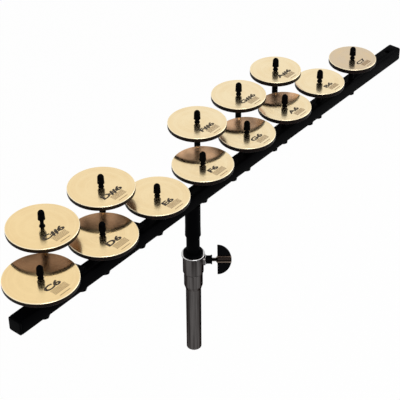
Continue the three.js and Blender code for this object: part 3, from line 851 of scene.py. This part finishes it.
def post_head(note, sizes, low):
    """The upper end of a post, from a height: shank to the seat, shoulder through the disc and
    threaded tip. Gives its profile and the cut of the tip's thread into a radius."""
    disc_low, disc_high = span(f"disc_{note}")
    tip, pitch = span(f"post_{note}")[1][2], sizes.tip_pitch
    thread_high = span(f"cap_{note}")[0][2] + pitch
    seat, neck = disc_low[2] - fit_gap(), disc_high[2] + sizes.shoulder_stand_out
    post, shoulder = sizes.diameter / 2, sizes.shoulder_diameter / 2
    tip_radius, small = sizes.tip_diameter / 2, pitch / 2
    corners = [(post, low), (post, seat), (shoulder, seat), (shoulder, neck), (tip_radius, neck)]
    outline = filleted(corners, [0, small / 2, 0, small / 2, 0], ring=False)
    thread = thread_profile(tip_radius, neck + small / 2, thread_high, pitch)
    end = [(tip_radius, tip - small), (tip_radius - small, tip)]

    def cut(theta, radius, height):
        return radius - thread_cut(theta, height, neck, thread_high, pitch,
                                   pitch * sizes.thread_share)

    return np.concatenate([outline, thread, end]), cut


def natural_post_shells(note, sizes):
    """A natural's post: hex head under the bar, shank, a stretch of thread, and the post head."""
    thread_high = span("bar")[1][2] + sizes.shank_thread_length
    upper, cut_tip = post_head(note, sizes, thread_high + sizes.end_chamfer)
    return [headed_shell(f"post_{note}", sizes, thread_high, upper, cut_tip)]


def raised_post_shells(note, sizes):
    """A raised disc's post: a stub down through the arm, a foot on it with two spanner flats, and
    the post head. A flat's radius is half its width over the cosine from its middle."""
    low, gap = span(f"post_{note}")[0][2], fit_gap()
    foot = span(f"arm_{note}")[1][2] + gap
    stub, post, chamfer = sizes.shoulder_diameter / 2, sizes.diameter / 2, sizes.end_chamfer
    flats_low, flats_high = foot + sizes.spanner_low, foot + sizes.spanner_high
    lower = [(stub - chamfer, low), (stub, low + chamfer), (stub, foot),
             (post - chamfer / 2, foot), (post, foot + chamfer / 2)]
    lower += [(post, height) for height in (flats_low - gap, flats_low, flats_high,
                                            flats_high + gap)]
    upper, cut_tip = post_head(note, sizes, flats_high + 2 * gap)

    def shape(theta, radius, height):
        least_cosine = 0.5
        flat = sizes.spanner_flats / 2 / np.maximum(np.abs(np.cos(theta)), least_cosine)
        inside = (height > flats_low - gap / 2) & (height < flats_high + gap / 2)
        return cut_tip(theta, np.where(inside, np.minimum(radius, flat), radius), height)

    profile = np.concatenate([lower, upper])
    return [upright(turned(profile, sizes.around, shape=shape), f"post_{note}")]


def bolt_shells(note, sizes):
    """The bolt that holds an arm: hex head under the bar, and its threaded end above the arm."""
    top, chamfer = span(f"bolt_{note}")[1][2], sizes.end_chamfer
    end = [(sizes.diameter / 2 - chamfer, top)]
    return [headed_shell(f"bolt_{note}", sizes, top - chamfer, end)]


def cap_shells(note, sizes):
    """A cap: mouth with a soft lip, side that swells towards it and a rounded nose, bored from
    below. The side's radius grows evenly from the nose down."""
    foot, top = (corner[2] for corner in span(f"cap_{note}"))
    waist = outer_radius(f"cap_{note}")
    radius = waist + sizes.cap_swell
    lip, lip_top = radius - sizes.cap_lip_depth, foot + sizes.cap_lip_height
    nose, dome_steps, side_steps = top - sizes.cap_nose_height, 15, 6
    bore, bore_top = sizes.tip_diameter / 2 + fit_gap(), top - sizes.cap_nose_wall
    mouth = filleted([(bore, foot), (radius, foot), (radius, lip_top),
                      (lip, lip_top + sizes.cap_lip_depth)],
                     [0, sizes.cap_chamfer, sizes.cap_lip_depth, 0], ring=False)
    turn = np.linspace(0, np.pi / 2, dome_steps)[:-1]
    dome = np.stack([waist * np.cos(turn), nose + sizes.cap_nose_height * np.sin(turn)], axis=-1)
    inside = np.array([(bore / 2, bore_top), (bore, bore_top)])
    side = np.linspace(mouth[-1], dome[0], side_steps)[1:-1]
    profile = np.concatenate([inside, mouth, side, dome])
    return [upright(turned(profile, sizes.around), f"cap_{note}")]


def tube_shell(node, outline, radii, sizes, bright_above=None):
    """A ring of the stand: an outline with rounded corners, turned about a solid's axis. Bands
    whose middle is above a height have the second finish."""
    profile = supported(filleted(outline, radii), sizes.edge_rounding)
    number = None
    if bright_above is not None:
        number = ((profile + np.roll(profile, -1, axis=0))[:, 1] / 2 > bright_above).astype(int)
    return upright(turned(profile, sizes.around, True, finish=number), node)


def stand_tube_shells(node, sizes, wall):
    """A plain tube with rounded ends: a rectangle turned about its axis."""
    low, high = span(node)
    radius = outer_radius(node)
    outline = [(radius - wall, low[2]), (radius, low[2]), (radius, high[2]),
               (radius - wall, high[2])]
    return [tube_shell(node, outline, [sizes.edge_rounding] * 4, sizes)]


def sleeve_shells(sizes):
    """The sleeve under the bar: a turned ring, flared a little at its lower end."""
    low, high = span("bar_receiver")
    inner = outer_radius("stand_rod") + sizes.fit_gap
    outer, edge = inner + sizes.receiver_wall, sizes.edge_rounding
    outline = [(inner, low[2]), (outer + sizes.receiver_lip_reach, low[2]),
               (outer, low[2] + sizes.receiver_lip_height), (outer, high[2]), (inner, high[2])]
    return [tube_shell("bar_receiver", outline, [edge, edge, edge, 0, 0], sizes)]


def ring_shells(sizes):
    """The ring below the collar: a turned ring, tapered at its foot."""
    low, high = span("collar_ring")
    bore = outer_radius("lower_tube") + sizes.fit_gap
    outer, edge = outer_radius("collar_ring"), sizes.edge_rounding
    outline = [(bore, low[2]), (bore + sizes.ring_foot_wall, low[2]),
               (outer, low[2] + sizes.ring_taper_height), (outer, high[2]), (bore, high[2])]
    return [tube_shell("collar_ring", outline, [0, edge / 2, edge * 2, edge, 0], sizes)]


def collar_outside(sizes):
    """Distance from the stand's axis to the collar's plain side."""
    return outer_radius("lower_tube") + sizes.fit_gap + sizes.collar_wall


def screw_place(shell, clamp):
    """Puts a shell made along Z on the wing screw's axis."""
    outward = np.array([math.cos(clamp.azimuth), math.sin(clamp.azimuth), 0])
    height = span("clamp_collar")[1][2] - clamp.below_collar_top
    return moved(shell, (0, 0, height), np.cross(UP, outward), UP, outward)


def drill_for_screw(collar, sizes, clamp):
    """Joins the collar's pad to its body and cuts the screw's hole through both: what is left of
    them outside a plain cylinder on the screw's axis. Slivers that the cut leaves are merged."""
    start = outer_radius("lower_tube") / 2
    end = outer_radius("clamp_collar") + sizes.collar_wall + clamp.pad_stand_out
    hole = clamp.screw_diameter / 2 + sizes.fit_gap
    core = screw_place(turned(np.array([(hole, start), (hole, end)]), clamp.around), clamp)
    mesh = bpy.data.meshes.new("drill")
    mesh.from_pydata(core.points.tolist(), [], core.faces)
    drill = bpy.data.objects.new("drill", mesh)
    bpy.context.scene.collection.objects.link(drill)
    cut = collar.modifiers.new("drill", "BOOLEAN")
    cut.object = drill
    cut.operation = "DIFFERENCE"
    cut.solver = "EXACT"
    cut.use_self = True
    drilled = collar.evaluated_get(bpy.context.evaluated_depsgraph_get())
    collar.data = bpy.data.meshes.new_from_object(drilled)
    collar.modifiers.clear()
    sliver = MM / 500
    cleaned = bmesh.new()
    cleaned.from_mesh(collar.data)
    bmesh.ops.remove_doubles(cleaned, verts=cleaned.verts, dist=sliver)
    bmesh.ops.dissolve_degenerate(cleaned, dist=sliver, edges=cleaned.edges)
    cleaned.to_mesh(collar.data)
    cleaned.free()
    bpy.data.objects.remove(drill)
    bpy.data.meshes.remove(mesh)
    collar.data.set_sharp_from_angle(angle=SHARP_ANGLE)


def collar_shells(sizes, clamp):
    """The clamp collar: lip over a groove, body and chamfered foot turned as one ring, with the
    pad for the screw, which is solid until it is drilled."""
    low, high = span("clamp_collar")
    outer, edge = collar_outside(sizes), sizes.edge_rounding
    bore, lip = outer - sizes.collar_wall, outer + sizes.collar_lip_reach
    lip_low = high[2] - sizes.collar_lip_height
    groove, chamfer = outer - sizes.groove_depth, sizes.collar_chamfer
    outline = [(bore, low[2]), (outer - chamfer, low[2]), (outer, low[2] + chamfer),
               (outer, lip_low - 2 * edge), (groove, lip_low - edge), (groove, lip_low),
               (lip, lip_low), (lip, high[2]), (bore, high[2])]
    body = tube_shell("lower_tube", outline, [0, edge, edge, edge / 2, 0, 0, edge, 2 * edge, edge],
                      sizes, bright_above=high[2] - sizes.collar_lip_height / 2)
    inside, pad_radius = clamp.screw_diameter / 4, clamp.pad_diameter / 2
    pad_low, pad_high = (bore + outer) / 2, outer + clamp.pad_stand_out
    pad = filleted([(inside, pad_low), (pad_radius, pad_low), (pad_radius, pad_high),
                    (inside, pad_high)], [0, 0, 2 * edge, 0], ring=False)
    return [body, screw_place(turned(pad, clamp.around), clamp)]


def bushing_shells(sizes):
    """The bushing: body inside the collar, round flange on top of it, and a small key."""
    low, high = span("rod_bushing")
    inner = outer_radius("stand_rod") + sizes.fit_gap
    body, edge = outer_radius("lower_tube"), sizes.edge_rounding
    seat = low[2] + sizes.bushing_body + sizes.fit_gap
    flange = collar_outside(sizes) - 2 * edge
    outline = [(inner, low[2]), (body, low[2]), (body, seat), (flange, seat), (flange, high[2]),
               (inner, high[2])]
    ring = tube_shell("lower_tube", outline,
                      [edge, edge, 0, edge, sizes.bushing_rounding, edge], sizes)
    half, squeeze = sizes.key_width / 2, 0.8
    square = filleted([(-half, -half), (half, -half), (half, half), (-half, half)], [edge] * 4)
    direction = np.array([math.cos(sizes.key_azimuth), math.sin(sizes.key_azimuth), 0])
    side_end, crown = sizes.key_depth * 1.7, sizes.key_depth * 2
    block = lofted(square, np.zeros(2), [(1, 0), (1, side_end), (squeeze, crown)])
    start = direction * (flange - sizes.key_depth) + UP * (seat + half * squeeze)
    return [ring, moved(block, start, np.cross(UP, direction), UP * squeeze, direction)]


def boss_shells(sizes, clamp):
    """The boss outside the collar that guides the screw, with a rim at its outer end."""
    start = collar_outside(sizes) + clamp.pad_stand_out + sizes.fit_gap
    end = start + clamp.boss_length
    hole, radius = clamp.screw_diameter / 2 + sizes.fit_gap, clamp.boss_diameter / 2
    rim, rim_start = radius + clamp.boss_rim_reach, end - clamp.boss_rim_height
    edge = sizes.edge_rounding
    waist = radius - edge
    outline = [(hole, start), (radius, start), (radius, start + 4 * edge),
               (waist, start + 5 * edge), (waist, rim_start - edge), (rim, rim_start), (rim, end),
               (hole, end)]
    radii = [0, edge, edge / 2, edge / 2, edge, edge, edge, edge]
    profile = supported(filleted(outline, radii), edge)
    return [screw_place(turned(profile, clamp.around, True), clamp)]


def wing_outline(clamp):
    """A half moon: half an ellipse closed by its straight side, with its two corners rounded."""
    arc_points, side_points = 49, 14
    turn = np.linspace(-np.pi / 2, np.pi / 2, arc_points)
    arc = np.stack([clamp.wing_reach * np.cos(turn), clamp.wing_half_height * np.sin(turn)],
                   axis=-1)
    side = np.linspace(arc[-1], arc[0], side_points)[1:-1]
    radii = np.zeros(arc_points + len(side))
    radii[[0, arc_points - 1]] = clamp.wing_corner
    return filleted(np.concatenate([arc, side]), radii)


def wing_screw_shells(sizes, clamp):
    """The wing screw: threaded shank, hub and a half-moon wing that leans back from upright. The
    wing's outline is drawn in along a quarter circle to round its edges."""
    tip = outer_radius("lower_tube") + sizes.fit_gap
    boss_end = collar_outside(sizes) + clamp.pad_stand_out + sizes.fit_gap + clamp.boss_length
    hub_start = boss_end + clamp.screw_showing
    wing_start = hub_start + clamp.hub_lead
    end = wing_start + clamp.wing_reach
    radius, hub, edge = clamp.screw_diameter / 2, clamp.hub_diameter / 2, clamp.wing_edge
    pitch = clamp.screw_pitch
    thread = thread_profile(radius, tip + edge, hub_start, pitch)
    barrel = filleted([(radius, hub_start), (hub, wing_start), (hub, end), (hub / 4, end)],
                      [0, edge, 2 * edge, 0], ring=False)
    barrel = supported(barrel, edge / 2, ring=False)
    profile = np.concatenate([[(radius - edge, tip)], thread, barrel[1:]])

    def shape(theta, size, height):
        return size - thread_cut(theta, height, tip + edge, hub_start, pitch, pitch / 2)

    stem = turned(profile, clamp.around, shape=shape, finish=np.ones(len(profile), int))
    half, draw_in = clamp.wing_thickness / 2, edge / clamp.wing_reach
    flat_rows, quarter = (0.5, 0.85), np.linspace(0, np.pi / 2, 6)
    lower = [(share_of, -half) for share_of in flat_rows]
    lower += [(1 - draw_in * (1 - math.sin(t)), -half + edge * (1 - math.cos(t)))
              for t in quarter]
    upper = [(share_of, -height) for share_of, height in reversed(lower)]
    centre = np.array([clamp.wing_reach * 0.4, 0])
    plate = lofted(wing_outline(clamp), centre, lower + upper)
    lean = clamp.wing_lean
    across = np.array([math.sin(lean), math.cos(lean), 0])
    facing = np.array([-math.cos(lean), math.sin(lean), 0])
    plate = moved(plate, (0, 0, wing_start), UP, across, facing)
    return [screw_place(stem, clamp), screw_place(plate, clamp)]


def end_cap_shells(node, sizes, outward):
    """An end cap: a plug with a lead-in inside the bar, and a square plate outside it. The plate's
    outline is drawn in along a quarter circle to round its outer edge, and its face is crowned by
    a third of the gap."""
    low, high = span(node)
    half, depth = (high[2] - low[2]) / 2, high[0] - low[0]
    edge, gap, plate = sizes.plate_rounding, sizes.fit_gap, sizes.plate_thickness
    square = filleted([(-half, -half), (half, -half), (half, half), (-half, half)],
                      [sizes.bar_corner_radius + edge / 2] * 4, steps=6)
    plug = (half - sizes.bar_wall - gap) / half
    lead_in, quarter = plug * 0.9, np.linspace(0, np.pi / 2, 7)
    steps = [(lead_in, plate - depth), (plug, plate - depth + edge), (plug, 0),
             (1 - gap / half, 0), (1, gap), (1, plate - edge - gap)]
    steps += [(1 - edge / half * (1 - math.cos(t)), plate - edge * (1 - math.sin(t)))
              for t in quarter]
    steps += [(0.7, plate + gap / 6), (0.3, plate + gap / 3)]
    shell = lofted(supported(square, edge), np.zeros(2), steps)
    face = high[0] - plate if outward > 0 else low[0] + plate
    middle = (span("bar")[0][2] + span("bar")[1][2]) / 2
    return [moved(shell, (face, 0, middle), (0, outward, 0), UP, (outward, 0, 0))]


class CROTALES_OT_finishes(Operator):
    """Makes the materials."""
    bl_idname = "crotales.finishes"
    bl_label = "Make finishes"

    def execute(self, context):
        finishes = context.scene.crotales_finishes
        for make in (turned_bronze, turned_underside, painted_dark_rim, bevel_with_painted_highlight, moulded_rubber,
                     black_zinc, powder_coat, moulded_nylon, oiled_steel, chrome_plate,
                     lip_chrome_with_painted_highlight):
            make(finishes)
        printed_ink("dark_screen_ink", finishes.ink_dark, finishes)
        printed_ink("tan_screen_ink", finishes.ink_tan, finishes)
        return {"FINISHED"}


class CROTALES_OT_discs(Operator):
    """Makes the tuned discs with their printed marks."""
    bl_idname = "crotales.discs"
    bl_label = "Make discs"

    def execute(self, context):
        for note in NOTES:
            node = f"disc_{note}"
            shells = [upright(shell, node) for shell in disc_shells(note, context.scene.crotales_discs)]
            replace_node(node, shells, DISC_FINISHES)
        return {"FINISHED"}


class CROTALES_OT_posts(Operator):
    """Makes the posts and their caps, and the arms and bolts of the raised row."""
    bl_idname = "crotales.posts"
    bl_label = "Make posts"

    def execute(self, context):
        sizes = context.scene.crotales_posts
        for note in NOTES:
            make_post = raised_post_shells if note in SHARPS else natural_post_shells
            replace_node(f"post_{note}", make_post(note, sizes), ["black_zinc_plated_steel"])
            replace_node(f"cap_{note}", cap_shells(note, sizes), ["moulded_black_rubber"])
        for note in SHARPS:
            bevelled_copy(f"arm_{note}", sizes.arm_edge, "black_powder_coat")
            replace_node(f"bolt_{note}", bolt_shells(note, sizes), ["black_zinc_plated_steel"])
        return {"FINISHED"}


class CROTALES_OT_bar(Operator):
    """Finishes the bar and makes its end caps and sleeve."""
    bl_idname = "crotales.bar"
    bl_label = "Make bar"

    def execute(self, context):
        sizes = context.scene.crotales_stand
        bevelled_copy("bar", sizes.bar_edge, "black_powder_coat")
        replace_node("end_cap_low", end_cap_shells("end_cap_low", sizes, -1), ["moulded_black_nylon"])
        replace_node("end_cap_high", end_cap_shells("end_cap_high", sizes, 1), ["moulded_black_nylon"])
        replace_node("bar_receiver", sleeve_shells(sizes), ["black_powder_coat"])
        return {"FINISHED"}


class CROTALES_OT_stand(Operator):
    """Makes the rod, bushing, collar, ring and lower tube."""
    bl_idname = "crotales.stand"
    bl_label = "Make stand"

    def execute(self, context):
        sizes = context.scene.crotales_stand
        clamp = context.scene.crotales_clamp
        replace_node("stand_rod", stand_tube_shells("stand_rod", sizes, sizes.rod_wall),
                     ["black_powder_coat"])
        replace_node("lower_tube", stand_tube_shells("lower_tube", sizes, sizes.tube_wall),
                     ["chrome_plated_steel"])
        replace_node("rod_bushing", bushing_shells(sizes), ["moulded_black_nylon"])
        collar = replace_node("clamp_collar", collar_shells(sizes, clamp),
                              ["chrome_plated_steel", "polished_chrome_plate"])
        drill_for_screw(collar, sizes, clamp)
        replace_node("collar_ring", ring_shells(sizes), ["chrome_plated_steel"])
        return {"FINISHED"}


class CROTALES_OT_clamp(Operator):
    """Makes the wing screw and its boss."""
    bl_idname = "crotales.clamp"
    bl_label = "Make clamp"

    def execute(self, context):
        sizes, clamp = context.scene.crotales_stand, context.scene.crotales_clamp
        replace_node("screw_boss", boss_shells(sizes, clamp), ["moulded_black_nylon"])
        replace_node("wing_screw", wing_screw_shells(sizes, clamp), ["moulded_black_nylon",
                                                                     "oiled_steel"])
        return {"FINISHED"}


def camera_turn(stage):
    """The camera's turn: heading from +X, then the dip below level, then the roll."""
    level = Matrix.Rotation(stage.camera_heading - math.pi / 2, 4, "Z")
    dipped = level @ Matrix.Rotation(math.pi / 2 - stage.camera_dip, 4, "X")
    return dipped @ Matrix.Rotation(-stage.camera_roll, 4, "Z")


def soft_lamp(name, stands, power, stage):
    """A square soft lamp that faces the stage's aim."""
    data = bpy.data.lights.new(name, "AREA")
    data.size = stage.lamp_size
    data.energy = power
    lamp = bpy.data.objects.new(name, data)
    lamp.location = stands
    facing = Vector(stage.lamp_aim) - Vector(stands)
    lamp.rotation_euler = facing.to_track_quat("-Z", "Y").to_euler()
    bpy.context.scene.collection.objects.link(lamp)


def seen_directly(tree):
    """1 for rays from the camera, a mirror or glass, and 0 for light on matt surfaces."""
    seen = add_node(tree, "ShaderNodeLightPath", output="Is Camera Ray")
    for ray in ("Is Glossy Ray", "Is Transmission Ray"):
        other = add_node(tree, "ShaderNodeLightPath", output=ray)
        seen = add_node(tree, "ShaderNodeMath", {"operation": "MAXIMUM", 0: seen, 1: other})
    return seen


def pale_floor(stage):
    """Matt white floor: plain white to the eye, with the object's shadow kept."""
    tree = new_tree("matt_white_floor")
    matt = add_node(tree, "ShaderNodeBsdfDiffuse", {"Color": stage.floor_white})
    glow = add_node(tree, "ShaderNodeEmission", {"Strength": 1.0})
    part = add_node(tree, "ShaderNodeMath", {"operation": "MULTIPLY", 0: seen_directly(tree),
                                             1: stage.floor_glow_share})
    both = add_node(tree, "ShaderNodeMixShader", {0: part, 1: matt, 2: glow})
    add_node(tree, "ShaderNodeOutputMaterial", {"Surface": both})


def white_sky(stage):
    """A sky that looks white and lights matt surfaces more gently."""
    world = bpy.data.worlds.new("studio")
    bpy.context.scene.world = world
    world.use_nodes = True
    tree = world.node_tree
    tree.nodes.clear()
    strength = add_node(tree, "ShaderNodeMapRange",
                        {"Value": seen_directly(tree), "To Min": stage.sky_strength, "To Max": 1})
    white = (1, 1, 1, 1)
    sky = add_node(tree, "ShaderNodeBackground", {"Color": white, "Strength": strength})
    add_node(tree, "ShaderNodeOutputWorld", {"Surface": sky})


class CROTALES_OT_stage(Operator):
    """Sets the camera, the lamps, the sky and the floor."""
    bl_idname = "crotales.stage"
    bl_label = "Set the stage"

    def execute(self, context):
        scene, stage = context.scene, context.scene.crotales_stage
        data = bpy.data.cameras.new("camera")
        data.sensor_width = stage.frame_width
        data.lens = stage.lens
        camera = bpy.data.objects.new("camera", data)
        camera.matrix_world = Matrix.Translation(stage.camera_place) @ camera_turn(stage)
        scene.collection.objects.link(camera)
        scene.camera = camera
        half, drop = stage.floor_size / 2, -stage.floor_drop
        mesh = bpy.data.meshes.new("floor")
        mesh.from_pydata([(-half, -half, drop), (half, -half, drop), (half, half, drop),
                          (-half, half, drop)], [], [(0, 1, 2, 3)])
        pale_floor(stage)
        mesh.materials.append(bpy.data.materials["matt_white_floor"])
        floor = bpy.data.objects.new("floor", mesh)
        scene.collection.objects.link(floor)
        white_sky(stage)
        soft_lamp("key_lamp", stage.key_place, stage.key_power, stage)
        soft_lamp("fill_lamp", stage.fill_place, stage.fill_power, stage)
        scene.view_settings.view_transform = "Standard"
        return {"FINISHED"}


OPERATORS = [CROTALES_OT_finishes, CROTALES_OT_discs, CROTALES_OT_posts, CROTALES_OT_bar,
             CROTALES_OT_stand, CROTALES_OT_clamp, CROTALES_OT_stage]
GROUPS = {"crotales_discs": CrotalesDiscs, "crotales_posts": CrotalesPosts,
          "crotales_stand": CrotalesStand, "crotales_clamp": CrotalesClamp,
          "crotales_finishes": CrotalesFinishes, "crotales_stage": CrotalesStage}


class CROTALES_PT_panel(Panel):
    """Lists the crotales' pieces and the stage."""
    bl_idname = "CROTALES_PT_panel"
    bl_label = "Crotales"
    bl_space_type = "VIEW_3D"
    bl_region_type = "UI"
    bl_category = "Crotales"

    def draw(self, context):
        for operator in OPERATORS:
            self.layout.operator(operator.bl_idname)


def register():
    """Registers the classes and hangs the settings on the scene."""
    for settings in GROUPS.values():
        bpy.utils.register_class(settings)
    for name, settings in GROUPS.items():
        setattr(bpy.types.Scene, name, PointerProperty(type=settings))
    for operator in OPERATORS:
        bpy.utils.register_class(operator)
    bpy.utils.register_class(CROTALES_PT_panel)


def unregister():
    """Takes the classes and the settings away again."""
    bpy.utils.unregister_class(CROTALES_PT_panel)
    for operator in reversed(OPERATORS):
        bpy.utils.unregister_class(operator)
    for name, settings in reversed(GROUPS.items()):
        delattr(bpy.types.Scene, name)
        bpy.utils.unregister_class(settings)


def main():
    """Makes everything in order."""
    register()
    bpy.ops.crotales.finishes()
    bpy.ops.crotales.discs()
    bpy.ops.crotales.posts()
    bpy.ops.crotales.bar()
    bpy.ops.crotales.stand()
    bpy.ops.crotales.clamp()
    bpy.ops.crotales.stage()


if __name__ == "__main__":
    main()
